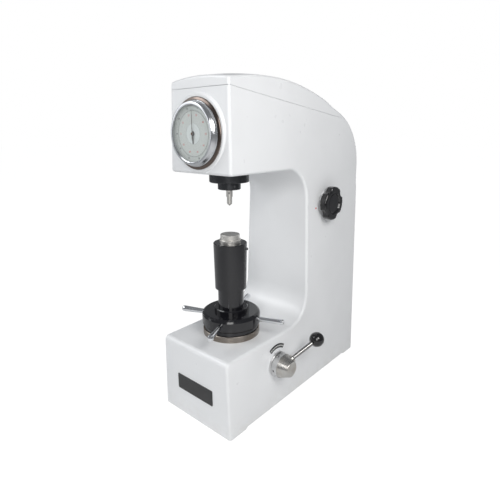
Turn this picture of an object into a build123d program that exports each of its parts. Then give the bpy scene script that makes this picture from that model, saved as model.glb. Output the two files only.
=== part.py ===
"""Bench hardness tester with dead weights: a C-shaped casting, an elevating screw below a spindle,
a beam with weights inside, a load lever with an oil dashpot, and a depth dial.

Millimetres. The origin is on the bench, under the axis of the elevating screw.
The front faces -Y, the load lever and the load selector are on +X, and +Z is up.
"""
from build123d import *
import os
from math import cos, radians, sin

# ------------------------------------------------------------------ casting
HEIGHT = 632.0                 # bench to the crown of the top cover
HEAD_DEPTH = 163.2             # crown down to the underside of the head
FOOT_HALF_WIDTH = 91.1         # half width at the bench
DRAFT = 0.0373                 # half width lost per mm of height
BASE_FRONT = -102.1
BASE_TOP = 152.9
COLUMN_FRONT = 142.0
HEAD_BOTTOM = HEIGHT - HEAD_DEPTH
HEAD_CHIN = -72.7              # front of the head at its lower edge
HEAD_LEAN = 0.0237             # the head front runs back by this per mm of height
REAR = 352.0
THROAT_RADIUS = 58.0
WALL = 11.0
EDGE_RADIUS = 5.0
BASE_NOSE_RADIUS = 9.0         # the base's upper front edge
CROWN = 6.7                    # rise of the roof from its side edges to its middle
ROOF_RUN = 422.0               # head front to rear face, for the points below
ROOF_LINE = [(-8.5, 15.8), (91.5, 6.7), (191.5, 13.6), (271.5, 33.3), (331.5, 55.5),
             (375.5, 78.5), (404.5, 110.5), (416.5, 144.4), (421, 201.5), (426.5, 271.5)]
ROOF_DEPTH = 60.0
FOOT_RISE = 3.5                # gap under the casting between its feet
FOOT_LENGTH = 42.0             # length of each foot along the side
FOOT_RAMP = 6.0

# ------------------------------------------------------------------ covers and plates
SEAM_DROP = 26.4               # crown down to the cover seam at the head front
SEAM_SLOPE = 0.119
COVER_REAR = REAR - 76.0
RIM_LAP = 8.0                  # casting's rim under the rear end of the cover
COVER_WALL = 4.0
SEAM_GROOVE = 1.0
WINDOW_WIDTH = 112.0           # service opening in the rear wall
WINDOW_LOW = 62.0
WINDOW_HIGH = HEIGHT - 232.0
REAR_COVER_LAP = 13.0          # how far the rear cover reaches past its opening
REAR_COVER_THICK = 2.5
COVER_SCREW_RADIUS = 2.5
COVER_SCREW_LENGTH = 9.0
COVER_SCREW_HEAD = 4.5
COVER_SCREW_RISE = 2.4
PLATE_WIDTH = 95.0
PLATE_HEIGHT = 32.0
PLATE_CENTRE = 69.0
PLATE_THICK = 1.2

# ------------------------------------------------------------------ spindle, from the head down
HOUSING_RADIUS = 36.3
HOUSING_DROP = 18.8
HOUSING_FOOT = HEAD_BOTTOM - HOUSING_DROP
HOUSING_NECK = 26.0
HOUSING_TOP = HEAD_BOTTOM + 37.2
RING_NUT_RADIUS = 31.5
RING_NUT_THICK = 9.0
RING_NUT_SLOT = 6.0
RING_NUT_SLOT_DEPTH = 2.5
SPINDLE_RADIUS = 13.0
SPINDLE_TIP_RADIUS = 9.0
SPINDLE_SHOULDER = HOUSING_FOOT + 3.0
SPINDLE_TOP = HEAD_BOTTOM + 60.2
SPINDLE_SEAT = 4.0             # depth of the notch that the beam's lower knife presses in
SEAT_PLAY = 1.8                # knife above the notch while the spindle hangs free
NOSE_RADIUS = 6.0
GUIDE_RADIUS = 21.0
GUIDE_FOOT = HOUSING_FOOT - 13.4
GUIDE_GAP = 0.4
NOSE_FOOT = GUIDE_FOOT - 13.6
INDENTER_RADIUS = 4.85
INDENTER_SHOULDER = NOSE_FOOT - 13.0
INDENTER_TIP = INDENTER_SHOULDER - 4.0
SHANK_RADIUS = 3.17
SHANK_LENGTH = 18.0

# ------------------------------------------------------------------ screw stack, from the bench up
WORK_GAP = 53.5                # anvil to indenter
ANVIL_RADIUS = 18.4
ANVIL_FLANGE = 20.6
ANVIL_HEIGHT = 16.0
ANVIL_SHANK = 9.0
ANVIL_SHANK_LENGTH = 26.0
SLEEVE_LID = 5.5
SCREW_RADIUS = 16.0
SCREW_FOOT = 44.0
SCREW_HEAD = INDENTER_TIP - WORK_GAP - ANVIL_HEIGHT - SLEEVE_LID
RUN = 0.08                     # radial clearance of a running fit
KEY_WIDTH = 5.0
KEY_DEPTH = 3.0
BUSH_RADIUS = 21.0
BUSH_FOOT = BASE_TOP - 37.9
BOSS_WALL = 5.0
SEAT_RADIUS = 56.0
SEAT_HEIGHT = 12.0
HUB_RADIUS = 30.0
RACE_INSET = 0.6
RACE_WIDTH = 10.0
RACE_THICK = 3.0
BALL_RADIUS = 3.5
BALL_COUNT = 16
WHEEL_RADIUS = 57.5
WHEEL_TOP = BASE_TOP + SEAT_HEIGHT + 34.1
WHEEL_SKIRT = 53.5
SKIRT_HEIGHT = 7.4
WHEEL_GAP = 0.6                # between the seat ring and the handwheel
SPOKE_COUNT = 4
SPOKE_TURN = 22.4              # direction of the first spoke, degrees from +X
SPOKE_ROOT = WHEEL_RADIUS - 14.0
SPOKE_TIP = 108.0
SPOKE_NECK = 4.0               # radius inside the wheel
SPOKE_THICK = 5.9              # radius near the tip
SPOKE_HEIGHT = WHEEL_TOP - 13.0
COLLAR_RADIUS = 33.0
COLLAR_THICK = 8.0
SLEEVE_TRAVEL = 39.0           # sleeve above the nut's collar
SLEEVE_TOP_RADIUS = 32.0
SLEEVE_FOOT_RADIUS = 30.4
SLEEVE_FOOT = WHEEL_TOP + COLLAR_THICK + SLEEVE_TRAVEL
SLEEVE_BORE = 27.3
SLEEVE_HUB = 13.0
SLEEVE_TOP = SCREW_HEAD + SLEEVE_LID
NECK_RADIUS = 25.1
NECK_SHARE = 2 / 9             # share of the sleeve's bore that the nut's neck fills
NECK_TOP = SLEEVE_FOOT + NECK_SHARE * (SCREW_HEAD - SLEEVE_HUB - SLEEVE_FOOT)

# ------------------------------------------------------------------ dial
DIAL_HEIGHT = HEAD_BOTTOM + 65.5
BOSS_FACE = HEAD_CHIN - 2.3
CASE_RADIUS = 46.0
CASE_DEPTH = 32.0
CASE_WALL = 2.5
FLANGE_RADIUS = CASE_RADIUS + 11.6
BOSS_RADIUS = FLANGE_RADIUS + 3.4
BEZEL_BORE = CASE_RADIUS + 0.7
BEZEL_RADIUS = CASE_RADIUS + 6.9
BEZEL_LIP_RADIUS = BEZEL_RADIUS - 3.3
BEZEL_OUT = 14.0
LIP_BORE = CASE_RADIUS - 1.2
NECK_OUT = 6.4
DIAL_OUT = 7.7
DIAL_THICK = 0.8
GLASS_OUT = 12.4
GLASS_THICK = 1.3
LONG_POINTER = 39.0
LONG_TAIL = 9.0
SHORT_POINTER = 15.8

# ------------------------------------------------------------------ load lever
LEVER_Y = 36.5
LEVER_Z = BASE_TOP - 57.4
PAD_RISE = 1.1                 # machined pad above the drafted side
LEVER_PAD = FOOT_HALF_WIDTH - DRAFT * LEVER_Z + PAD_RISE
FLANGE_OUT = LEVER_PAD + 3.4
COLLAR_OUT = FLANGE_OUT + 12.5
NOSE_OUT = COLLAR_OUT + 20.0
LEVER_FLANGE = 25.2
LEVER_COLLAR = 24.5
LEVER_NOSE = 15.2
SHAFT_RADIUS = 8.0
LEVER_BUSH = 13.0
ROD_RADIUS = 4.1
ROD_ROOT = (FLANGE_OUT + 11.0, LEVER_Y, LEVER_Z)
BALL_CENTRE = (FLANGE_OUT + 41.0, LEVER_Y + 72.5, LEVER_Z + 38.5)
ROD_SOCKET = 16.0
BALL_SEAT = 13.0               # ball's centre to the flat that the rod stops at
KNOB_BALL_RADIUS = 15.0
CAM_RADIUS = 12.0
CAM_THROW = 6.0
CAM_HALF = 8.0
CAM_GAP = 1.2                  # between the cam and the rocker below it
INDEX_INNER = 32.0
INDEX_OUTER = 40.5
INDEX_SPAN = 68.0
INDEX_MIDDLE = 87.5

# ------------------------------------------------------------------ beam, weights and dashpot
FULCRUM_Y = -14.0
BEAM_AXIS = SPINDLE_TOP + 19.0
HANGER_Y = REAR - 102.0
BEAM_HALF = 10.0
KNIFE_SIDE = 9.0
KNIFE_GAP = 0.5
POST_INNER = 34.0
POST_OUTER = 46.0
POST_HALF = 15.0               # half length of a post along the beam
POST_FOOT_HALF = 25.0
POST_FOOT_THICK = 8.0
HANGER_ROD = 6.0
SHELF_TOP = 20.0
SHELF_THICK = 9.0
SHELF_HALF = 45.0
DASHPOT_RADIUS = 33.0
DASHPOT_BORE = 29.5
DASHPOT_TOP = SHELF_TOP + 92.0
DASHPOT_CAP = 6.0
PISTON_FOOT = DASHPOT_TOP - 34.0
PISTON_THICK = 10.0
LIFT_COLLAR = DASHPOT_TOP + 28.0
LIFT_COLLAR_RADIUS = 14.0
LIFT_COLLAR_THICK = 6.0
LIFT_GAP = 1.6                 # between the hanger's collar and the rocker's fork
TRAY_TOP = LIFT_COLLAR + 50.0
TRAY_THICK = 8.0
TRAY_RADIUS = 45.0
STIRRUP_INNER = BEAM_HALF + 2.0
STIRRUP_OUTER = STIRRUP_INNER + 5.0
STIRRUP_HALF = 13.0
STIRRUP_FOOT = BEAM_AXIS - 46.0
STIRRUP_FLOOR = 10.0
STIRRUP_RISE = 9.0
ROCKER_Y = 130.0
ROCKER_Z = LEVER_Z - 11.5
ROCKER_HALF = 7.0
ROCKER_PIN = 6.0
FORK_HALF = 16.0

# ------------------------------------------------------------------ load selector
KNOB_Y = 212.8
KNOB_Z = HEAD_BOTTOM - 75.6
KNOB_PAD = FOOT_HALF_WIDTH - DRAFT * KNOB_Z + 1.3
KNOB_GAP = 0.5
KNOB_NECK_RADIUS = 23.2
KNOB_NECK = 5.8
STAR_RADIUS = 34.8
STAR_THICK = 14.5
STAR_LOBES = 4
STAR_TURN = 33.0               # the first hollow between lobes, from the rear
STAR_HOLLOW = 12.0
STAR_HOLLOW_DEPTH = 5.0
STAR_EDGE = 4.0
DISH_RADIUS = 23.0
DISH_DEPTH = 3.0
KNOB_CAP_RADIUS = 19.5
SELECTOR_SHAFT = 8.0
SELECTOR_CAM = 21.0            # reach of a cam's lobe
SELECTOR_THROW = 5.0
SELECTOR_CLEAR = 45.2          # top weight below the selector's cams

# ------------------------------------------------------------------ weights
WEIGHT_RADIUS = 52.0
WEIGHT_GAP = 1.0
WEIGHT_STACK = KNOB_Z - SELECTOR_CAM - SELECTOR_CLEAR - TRAY_TOP
WEIGHT_THICK = WEIGHT_STACK / 3 - WEIGHT_GAP


# ================================================================== helpers
def half_width(z):
    return FOOT_HALF_WIDTH - DRAFT * z


def drafted_slab(inset=0.0):
    """Everything between the two drafted side faces, less an inset on each side."""
    low, high = -20.0, HEIGHT + 90.0
    wide, narrow = half_width(low) - inset, half_width(high) - inset
    face = make_face(Polyline((-wide, low), (wide, low), (narrow, high), (-narrow, high), close=True))
    return extrude(Plane.XZ * face, 2 * REAR, both=True)


def across(points, half):
    """A side profile of (y, z) points, as thick as twice the half width."""
    face = make_face(Polyline(*points, close=True))
    return extrude(Plane.YZ * face, half, both=True)


def block(x, y, z):
    """A box from its three (low, high) pairs."""
    size = [high - low for low, high in (x, y, z)]
    middle = [(high + low) / 2 for low, high in (x, y, z)]
    return Pos(*middle) * Box(*size)


def turned(*points):
    """A solid of revolution about +Z from (radius, height) points."""
    face = make_face(Polyline(*points, close=True))
    return revolve(Plane.XZ * face, Axis.Z)


def ring(outer, inner, low, high):
    return turned((inner, low), (outer, low), (outer, high), (inner, high))


def disc(radius, low, high):
    return turned((0, low), (radius, low), (radius, high), (0, high))


def facing_right(x, y, z):
    """Plane whose local axes are +Y, +Z and, outward, +X."""
    return Plane(origin=(x, y, z), x_dir=(0, 1, 0), z_dir=(1, 0, 0))


def facing_front(y, z):
    """Plane whose local axes are +X, +Z and, outward, -Y."""
    return Plane(origin=(0, y, z), x_dir=(1, 0, 0), z_dir=(0, -1, 0))


def on_side(y, z):
    """Plane that lies on the drafted right side."""
    return Plane(origin=(half_width(z), y, z), x_dir=(0, 1, 0), z_dir=(1, 0, DRAFT))


LEVER = facing_right(0, LEVER_Y, LEVER_Z)
KNOB = facing_right(0, KNOB_Y, KNOB_Z)
DIAL = facing_front(BOSS_FACE, DIAL_HEIGHT)
WINDOW_MIDDLE = (WINDOW_LOW + WINDOW_HIGH) / 2
WINDOW_HEIGHT = WINDOW_HIGH - WINDOW_LOW


# ================================================================== casting and covers
def roof(inset=0.0):
    """The crowned roof and rear shoulder, lofted through sections square to their side line."""
    stretch = (REAR - HEAD_CHIN) / ROOF_RUN
    points = [(HEAD_CHIN + run * stretch, HEIGHT - drop) for run, drop in ROOF_LINE]
    line = Spline(*points, tangents=[(1, 0.12), (0.0786, -1)])
    sections = []
    steps = 12
    for step in range(steps + 1):
        share = step / steps
        point = line.position_at(share)
        run = line.tangent_at(share)
        inward = Vector(0, run.Y, -run.X)
        edge = Vector(0, point.X, point.Y) + inward * inset
        foot = edge + inward * ROOF_DEPTH
        rise = (CROWN - 1) * min(1.0, 3.0 * (1 - share)) + 1
        wide = Vector(half_width(edge.Z) + 4, 0, 0)
        wide_foot = Vector(half_width(foot.Z) + 4, 0, 0)
        arc = ThreePointArc(edge - wide, edge - inward * rise, edge + wide)
        sides = Polyline(edge + wide, foot + wide_foot, foot - wide_foot, edge - wide)
        sections.append(make_face(arc + sides))
    return loft(sections)


def outer_form():
    """Casting and top cover in one, with rounded edges."""
    top = HEIGHT + 70
    lean = HEAD_CHIN + HEAD_LEAN * (top - HEAD_BOTTOM)
    outline = make_face(Polyline(
        (BASE_FRONT, 0), (REAR, 0), (REAR, top), (lean, top), (HEAD_CHIN, HEAD_BOTTOM),
        (COLUMN_FRONT, HEAD_BOTTOM), (COLUMN_FRONT, BASE_TOP), (BASE_FRONT, BASE_TOP), close=True))
    throat = [corner for corner in outline.vertices() if abs(corner.X - COLUMN_FRONT) < 0.1]
    outline = fillet(throat, THROAT_RADIUS)
    nose = outline.vertices().sort_by_distance((BASE_FRONT, BASE_TOP))[0]
    outline = fillet(nose, BASE_NOSE_RADIUS)
    shoulder = HEIGHT - 240
    under_roof = across([(-200, -1), (REAR + 50, -1), (REAR + 50, shoulder), (REAR - 25.5, shoulder),
                         (REAR - 35.5, shoulder + 80), (REAR - 60.5, shoulder + 130),
                         (REAR - 95.5, shoulder + 155), (REAR - 230, shoulder + 200),
                         (REAR - 330, shoulder + 205), (-200, shoulder + 185)], 150)
    form = (under_roof + roof()) & drafted_slab() & extrude(Plane.YZ * outline, 150, both=True)
    rounded = []
    for edge in form.edges():
        middle = edge.center()
        across_form = abs(middle.X) < 1
        wanted = across_form and middle.Y < -50 and middle.Z > HEAD_BOTTOM - 1
        if middle.Z > 1 and (wanted or not across_form):
            rounded.append(edge)
    return fillet(rounded, EDGE_RADIUS)


def seam_height(y):
    return HEIGHT - SEAM_DROP - SEAM_SLOPE * (y - HEAD_CHIN)


def above_seam(lift=0.0):
    front = BASE_FRONT
    return across([(front, seam_height(front) + lift), (COVER_REAR, seam_height(COVER_REAR) + lift),
                   (COVER_REAR, HEIGHT + 60), (front, HEIGHT + 60)], 150)


def cavity():
    """The hollow of the casting: base, column and head in one room."""
    side = COLUMN_FRONT + WALL
    ceiling = BASE_TOP - WALL
    floor = HEAD_BOTTOM + WALL
    top = HEIGHT + 20
    back = REAR - WALL
    chin = HEAD_CHIN + WALL + 2
    front = BASE_FRONT + WALL
    rim = COVER_REAR - RIM_LAP
    room = across([(front, -5), (back, -5), (back, HEIGHT - 190), (REAR - 20.5, HEIGHT - 146),
                   (REAR - 35.5, HEIGHT - 116), (REAR - 60.5, HEIGHT - 94), (rim, HEIGHT - 82),
                   (rim, top), (chin, top), (chin, floor), (side, floor), (side, ceiling),
                   (front, ceiling)], 150)
    return room & drafted_slab(WALL)


def foot_gap():
    """A shallow relief that leaves a foot across the front and one across the rear."""
    front = BASE_FRONT + FOOT_LENGTH
    rear = REAR - FOOT_LENGTH
    return across([(front, -1), (front + FOOT_RAMP, FOOT_RISE),
                   (rear - FOOT_RAMP, FOOT_RISE), (rear, -1)], 150)


def rear_cover_outline(grow=0.0):
    wide = WINDOW_WIDTH + 2 * REAR_COVER_LAP + 2 * grow
    high = WINDOW_HEIGHT + 2 * REAR_COVER_LAP + 2 * grow
    return RectangleRounded(wide, high, 8)


def rear_screw_places():
    """Two columns of three places for the rear cover's screws."""
    x = (WINDOW_WIDTH + REAR_COVER_LAP) / 2
    z = (WINDOW_HEIGHT + REAR_COVER_LAP) / 2
    return [(side * x, level * z) for side in (-1, 1) for level in (-1, 0, 1)]


REAR_FACE = Plane(origin=(0, REAR, WINDOW_MIDDLE), x_dir=(-1, 0, 0), z_dir=(0, 1, 0))


def body_casting():
    form = outer_form() - above_seam()
    form += DIAL * turned((0, -8), (BOSS_RADIUS + 4, -8), (BOSS_RADIUS + 3, -4), (BOSS_RADIUS, 0), (0, 0))
    form += LEVER * disc(LEVER_FLANGE + 1.5, 80, LEVER_PAD)
    form += KNOB * disc(KNOB_NECK_RADIUS + 1, 70, KNOB_PAD)
    form -= cavity()
    boss = BUSH_RADIUS + BOSS_WALL
    form += disc(boss, BUSH_FOOT, BASE_TOP - WALL + 1)
    inner = half_width(0) - WALL + 3
    shelf = (HANGER_Y - SHELF_HALF, HANGER_Y + SHELF_HALF)
    form += block((-inner, inner), shelf, (SHELF_TOP - SHELF_THICK, SHELF_TOP))
    ceiling = BASE_TOP - WALL + 1
    for side in (-1, 1):
        lug = [side * (ROCKER_HALF + 3), side * (ROCKER_HALF + 17)]
        form += block((min(lug), max(lug)), (ROCKER_Y - 11, ROCKER_Y + 11), (ROCKER_Z - 12, ceiling))
    form += block((-30, -18), (LEVER_Y - 10, LEVER_Y + 12), (LEVER_Z - 12, ceiling))
    form -= disc(BUSH_RADIUS, BUSH_FOOT - 1, BASE_TOP + 1)
    form -= disc(HOUSING_NECK, HEAD_BOTTOM - 1, HEAD_BOTTOM + WALL + 1)
    form -= DIAL * disc(CASE_RADIUS, -CASE_DEPTH, 1)
    form -= LEVER * disc(LEVER_BUSH, 60, LEVER_PAD + 1)
    form -= LEVER * disc(SHAFT_RADIUS + RUN, -31, -17)
    form -= KNOB * disc(SELECTOR_SHAFT + RUN, 50, KNOB_PAD + 1)
    form -= facing_right(0, ROCKER_Y, ROCKER_Z) * disc(ROCKER_PIN, -ROCKER_HALF - 18, ROCKER_HALF + 18)
    window = RectangleRounded(WINDOW_WIDTH, WINDOW_HEIGHT, 6)
    form -= extrude(REAR_FACE * window, -WALL - 2)
    form -= extrude(REAR_FACE * rear_cover_outline(0.3), -REAR_COVER_THICK)
    for x, z in rear_screw_places():
        form -= REAR_FACE * Pos(x, z, 0) * disc(COVER_SCREW_RADIUS, -COVER_SCREW_LENGTH - 1, 1)
    return form - foot_gap()


def top_cover():
    """A thin crowned lid with a groove along its seam and a rim that drops inside the casting."""
    lid = outer_form() & above_seam()
    hollow = roof(COVER_WALL) & drafted_slab(COVER_WALL + 2)
    front = HEAD_CHIN + COVER_WALL + 4
    foot = HEIGHT - 132
    inside = across([(front, foot), (COVER_REAR - 12, foot), (COVER_REAR - 12, HEIGHT + 20),
                     (front, HEIGHT + 20)], 150)
    lid -= hollow & inside
    groove = above_seam() - above_seam(SEAM_GROOVE)
    below = HEIGHT - 232
    kept = drafted_slab(SEAM_GROOVE) & block((-150, 150), (HEAD_CHIN + 5, COVER_REAR - 1), (below, HEIGHT + 90))
    lid -= groove - kept
    rim_bore = drafted_slab(WALL + 3.5)
    span = block((-150, 150), (HEAD_CHIN + WALL + 6, COVER_REAR - 20), (below, HEIGHT + 90))
    ledge = (drafted_slab(COVER_WALL) - rim_bore) & (above_seam() - above_seam(3))
    rim = ledge + (drafted_slab(WALL + 0.5) - rim_bore) & (above_seam(-9) - above_seam(3))
    rim &= span
    return lid + rim


def rear_cover():
    plate = extrude(REAR_FACE * rear_cover_outline(), -REAR_COVER_THICK)
    for x, z in rear_screw_places():
        plate -= REAR_FACE * Pos(x, z, 0) * disc(COVER_SCREW_RADIUS, -COVER_SCREW_LENGTH, 1)
    return plate


def rear_cover_screws():
    head, rise = COVER_SCREW_HEAD, COVER_SCREW_RISE
    shank, tip = COVER_SCREW_RADIUS, -COVER_SCREW_LENGTH
    screw = turned((0, tip), (shank, tip), (shank, 0), (head, 0), (head, 0.6 * rise),
                   (0.7 * head, rise), (0, rise))
    screw -= block((-head, head), (-0.1 * head, 0.1 * head), (0.6 * rise, 2 * rise))
    return Compound(children=[REAR_FACE * Pos(x, z, 0) * screw for x, z in rear_screw_places()])


def name_plate():
    place = facing_front(BASE_FRONT, PLATE_CENTRE)
    plate = extrude(place * RectangleRounded(PLATE_WIDTH, PLATE_HEIGHT, 2), PLATE_THICK)
    return chamfer(plate.faces().sort_by(Axis.Y)[0].edges(), 0.4)


def lever_index_plate():
    """An arc-shaped plate above the lever, around the lever's axis."""
    band = Circle(INDEX_OUTER) - Circle(INDEX_INNER)
    reach = 2 * INDEX_OUTER
    left, right = radians(INDEX_MIDDLE + INDEX_SPAN / 2), radians(INDEX_MIDDLE - INDEX_SPAN / 2)
    wedge = make_face(Polyline((0, 0), (reach * cos(right), reach * sin(right)), (0, 2 * reach),
                               (reach * cos(left), reach * sin(left)), close=True))
    return extrude(on_side(LEVER_Y, LEVER_Z) * (band & wedge), 1.0)


def load_index_marks():
    """Small studs beside the selector knob that its lobes are set against."""
    marks = []
    for angle, reach in ((170, 47.3), (191, 38.4)):
        y = KNOB_Y + reach * cos(radians(angle))
        z = KNOB_Z + reach * sin(radians(angle))
        marks.append(on_side(y, z) * disc(1.7, 0, 0.5))
    return Compound(children=marks)


# ================================================================== screw stack
def seat_ring():
    recess = SEAT_HEIGHT - RACE_THICK - 4
    wide = HUB_RADIUS + 2 * RACE_INSET + RACE_WIDTH
    return Pos(0, 0, BASE_TOP) * turned((HUB_RADIUS + RUN, 0), (SEAT_RADIUS, 0),
                                        (SEAT_RADIUS, SEAT_HEIGHT - 1), (SEAT_RADIUS - 1, SEAT_HEIGHT),
                                        (wide, SEAT_HEIGHT), (wide, recess), (HUB_RADIUS + RUN, recess))


RACE_FOOT = BASE_TOP + SEAT_HEIGHT - RACE_THICK - 4
RACE_INNER = HUB_RADIUS + RACE_INSET
BALL_LEVEL = RACE_FOOT + RACE_THICK + BALL_RADIUS
UPPER_RACE = BALL_LEVEL + BALL_RADIUS + 0.4


def thrust_race(low):
    return ring(RACE_INNER + RACE_WIDTH, RACE_INNER, low, low + RACE_THICK)


def thrust_balls():
    reach = RACE_INNER + RACE_WIDTH / 2
    balls = [Pos(reach, 0, BALL_LEVEL) * Sphere(BALL_RADIUS)]
    return Compound(children=[Rot(0, 0, 360 * n / BALL_COUNT) * balls[0] for n in range(BALL_COUNT)])


def handwheel():
    foot = BASE_TOP + SEAT_HEIGHT + WHEEL_GAP
    skirt = foot + SKIRT_HEIGHT
    recess = UPPER_RACE + RACE_THICK
    wide = RACE_INNER + RACE_WIDTH + RACE_INSET
    wheel = turned((HUB_RADIUS, recess), (wide, recess), (wide, foot), (WHEEL_SKIRT, foot),
                   (WHEEL_SKIRT, skirt), (WHEEL_RADIUS - 2, skirt), (WHEEL_RADIUS, skirt + 3),
                   (WHEEL_RADIUS, WHEEL_TOP - 6), (WHEEL_RADIUS - 1.5, WHEEL_TOP - 2.5),
                   (WHEEL_RADIUS - 5, WHEEL_TOP), (HUB_RADIUS, WHEEL_TOP))
    for turn in range(SPOKE_COUNT):
        wheel -= spoke_place(turn) * disc(SPOKE_NECK, SPOKE_ROOT, WHEEL_RADIUS + 5)
    return wheel


def spoke_place(turn):
    angle = radians(SPOKE_TURN + 360 * turn / SPOKE_COUNT)
    return Plane(origin=(0, 0, SPOKE_HEIGHT), x_dir=(0, 0, 1), z_dir=(cos(angle), sin(angle), 0))


def handwheel_spokes():
    thick = SPOKE_THICK
    spoke = turned((0, SPOKE_ROOT), (SPOKE_NECK, SPOKE_ROOT), (SPOKE_NECK, WHEEL_RADIUS),
                   (0.78 * thick, WHEEL_RADIUS), (thick, SPOKE_TIP - 6), (0.95 * thick, SPOKE_TIP - 3),
                   (0.73 * thick, SPOKE_TIP - 0.8), (0.37 * thick, SPOKE_TIP), (0, SPOKE_TIP))
    return Compound(children=[spoke_place(turn) * spoke for turn in range(SPOKE_COUNT)])


def nut_collar():
    return turned((HUB_RADIUS, WHEEL_TOP), (COLLAR_RADIUS, WHEEL_TOP),
                  (COLLAR_RADIUS, WHEEL_TOP + COLLAR_THICK - 1.5),
                  (COLLAR_RADIUS - 1.5, WHEEL_TOP + COLLAR_THICK), (HUB_RADIUS, WHEEL_TOP + COLLAR_THICK))


def lifting_nut():
    """The rotating nut: hub in the seat ring, flange-less body in the wheel, long neck in the sleeve."""
    top = WHEEL_TOP + COLLAR_THICK
    bore = SCREW_RADIUS + RUN
    return turned((bore, BASE_TOP + 0.6), (HUB_RADIUS, BASE_TOP + 0.6), (HUB_RADIUS, top), (NECK_RADIUS, top),
                  (NECK_RADIUS, NECK_TOP - 2), (NECK_RADIUS - 2, NECK_TOP), (bore, NECK_TOP))


def guide_bush():
    bush = ring(BUSH_RADIUS, SCREW_RADIUS + RUN, BUSH_FOOT, BASE_TOP)
    return bush - key_block(0.0, BUSH_RADIUS)


def key_block(side_clear, reach):
    half = KEY_WIDTH / 2 + side_clear
    inner = SCREW_RADIUS - KEY_DEPTH + 0.4
    return block((-half, half), (-reach, -inner), (BUSH_FOOT + 8, BUSH_FOOT + 26))


def guide_key():
    outer = disc(BUSH_RADIUS, 0, HEIGHT)
    return key_block(0.0, BUSH_RADIUS + 1) & outer


def elevating_screw():
    screw = turned((0, SCREW_FOOT), (SCREW_RADIUS - 2, SCREW_FOOT), (SCREW_RADIUS, SCREW_FOOT + 2),
                   (SCREW_RADIUS, SCREW_HEAD - 1), (SCREW_RADIUS - 1, SCREW_HEAD), (0, SCREW_HEAD))
    half = KEY_WIDTH / 2 + 0.1
    screw -= block((-half, half), (-SCREW_RADIUS - 1, -SCREW_RADIUS + KEY_DEPTH),
                   (SCREW_FOOT - 1, SCREW_HEAD - 80))
    return screw - disc(ANVIL_SHANK, SCREW_HEAD - ANVIL_SHANK_LENGTH, SCREW_HEAD + 1)


def dust_sleeve():
    """A slightly tapered cover that hangs from the screw's head and slides over the nut's neck."""
    hub = SCREW_HEAD - SLEEVE_HUB
    sleeve = turned((ANVIL_SHANK, SCREW_HEAD), (ANVIL_SHANK, SLEEVE_TOP),
                    (SLEEVE_TOP_RADIUS - 1, SLEEVE_TOP), (SLEEVE_TOP_RADIUS, SLEEVE_TOP - 1),
                    (SLEEVE_FOOT_RADIUS, SLEEVE_FOOT), (SLEEVE_BORE, SLEEVE_FOOT), (SLEEVE_BORE, hub),
                    (SCREW_RADIUS, hub), (SCREW_RADIUS, SCREW_HEAD))
    return sleeve - sleeve_screw_place() * disc(2.5, SCREW_RADIUS, SLEEVE_TOP_RADIUS + 5)


def sleeve_screw_place():
    return Plane(origin=(0, 0, SCREW_HEAD - 6), x_dir=(0, 0, 1),
                 z_dir=(cos(radians(28)), sin(radians(28)), 0))


def sleeve_screw():
    end = SLEEVE_TOP_RADIUS + 2.6
    screw = turned((0, SCREW_RADIUS), (2.5, SCREW_RADIUS), (2.5, end - 0.6), (1.9, end), (0, end))
    return sleeve_screw_place() * (screw - block((-0.4, 0.4), (-3, 3), (end - 1.2, end + 1)))


def anvil():
    foot = SCREW_HEAD - ANVIL_SHANK_LENGTH + 1
    flange = SLEEVE_TOP + 6.5
    top = SLEEVE_TOP + ANVIL_HEIGHT
    return turned((0, foot), (ANVIL_SHANK - 1, foot), (ANVIL_SHANK, foot + 1), (ANVIL_SHANK, SLEEVE_TOP),
                  (ANVIL_FLANGE, SLEEVE_TOP), (ANVIL_FLANGE, flange - 1), (ANVIL_FLANGE - 1, flange),
                  (ANVIL_RADIUS, flange), (ANVIL_RADIUS, top - 0.8), (ANVIL_RADIUS - 0.8, top), (0, top))


# ================================================================== spindle
def spindle_housing():
    foot = HOUSING_FOOT
    bore = SPINDLE_RADIUS + RUN
    return turned((bore, foot), (HOUSING_RADIUS - 1, foot), (HOUSING_RADIUS, foot + 1),
                  (HOUSING_RADIUS, HEAD_BOTTOM), (HOUSING_NECK, HEAD_BOTTOM), (HOUSING_NECK, HOUSING_TOP),
                  (bore, HOUSING_TOP))


def housing_nut():
    foot = HEAD_BOTTOM + WALL
    nut = ring(RING_NUT_RADIUS, HOUSING_NECK, foot, foot + RING_NUT_THICK)
    slot = block((RING_NUT_RADIUS - RING_NUT_SLOT_DEPTH, RING_NUT_RADIUS + 1),
                 (-RING_NUT_SLOT / 2, RING_NUT_SLOT / 2), (foot - 1, foot + RING_NUT_THICK + 1))
    for turn in range(4):
        nut -= Rot(0, 0, 90 * turn) * slot
    return nut


def spindle_guide_ring():
    top = HOUSING_FOOT
    bore = NOSE_RADIUS + GUIDE_GAP
    guide = turned((bore, GUIDE_FOOT), (GUIDE_RADIUS - 1, GUIDE_FOOT), (GUIDE_RADIUS, GUIDE_FOOT + 1),
                   (GUIDE_RADIUS, top), (bore, top))
    return guide - guide_screw_place() * disc(2.0, GUIDE_RADIUS - 6, GUIDE_RADIUS + 1)


def guide_screw_place():
    level = (GUIDE_FOOT + HOUSING_FOOT) / 2
    angle = radians(-20)
    return Plane(origin=(0, 0, level), x_dir=(0, 0, 1), z_dir=(cos(angle), sin(angle), 0))


def guide_ring_screw():
    end = GUIDE_RADIUS + 0.6
    screw = disc(2.0, GUIDE_RADIUS - 6, end)
    return guide_screw_place() * (screw - block((-0.4, 0.4), (-3, 3), (end - 1, end + 1)))


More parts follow.
